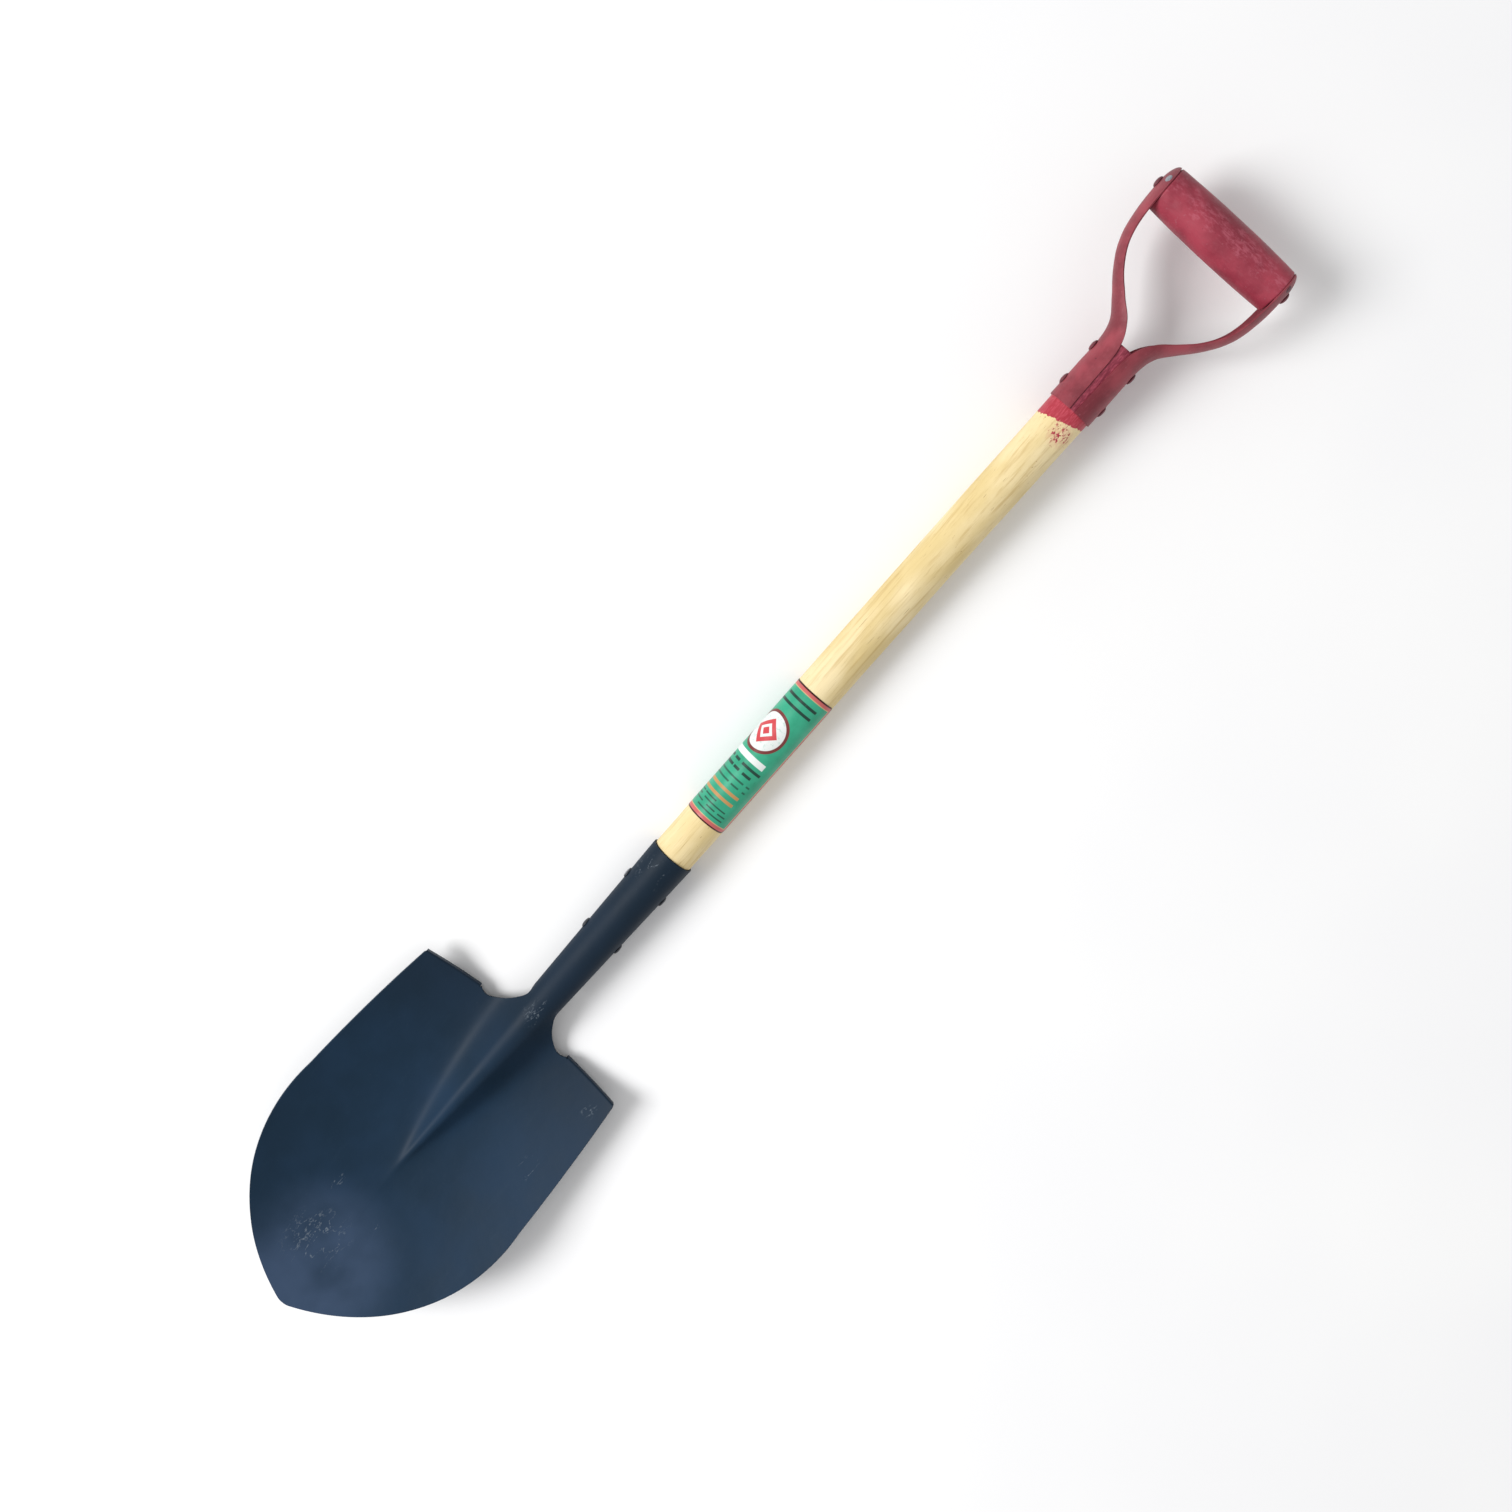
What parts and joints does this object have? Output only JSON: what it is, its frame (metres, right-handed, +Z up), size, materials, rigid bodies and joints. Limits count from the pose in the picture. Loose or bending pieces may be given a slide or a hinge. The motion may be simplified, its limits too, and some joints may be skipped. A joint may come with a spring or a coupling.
{
  "type": "round point shovel",
  "caption": "Round-point digging shovel with a dished steel blade and socket, a bent wooden shaft and a steel D-handle with a wooden grip.",
  "frame": {"origin": "on the ground under the middle of the tool as it lies on its back", "axes": "+X from the blade's tip towards the grip, +Y to the left of the blade's hollow side, +Z up out of the blade's hollow side"},
  "size_m": [1.0264, 0.203, 0.0576],
  "materials": {
    "blade_steel": "semi-gloss dark blue paint",
    "shaft_wood": "pale sanded ash, thin clear varnish",
    "rivet_steel": "steel under thin dark paint",
    "label_paper": "printed green wrap label",
    "handle_steel": "brushed-on red paint",
    "grip_wood": "turned wood, brushed-on red paint",
    "nail_steel": "bare steel nail head"
  },
  "bodies": {
    "root": {"blade": "blade_steel", "shaft": "shaft_wood", "socket_rivets": "rivet_steel", "label": "label_paper", "left_arm": "handle_steel", "right_arm": "handle_steel", "yoke_rivets": "handle_steel", "grip": "grip_wood", "grip_rod": "handle_steel", "grip_nails": "nail_steel"}
  },
  "joints": []
}
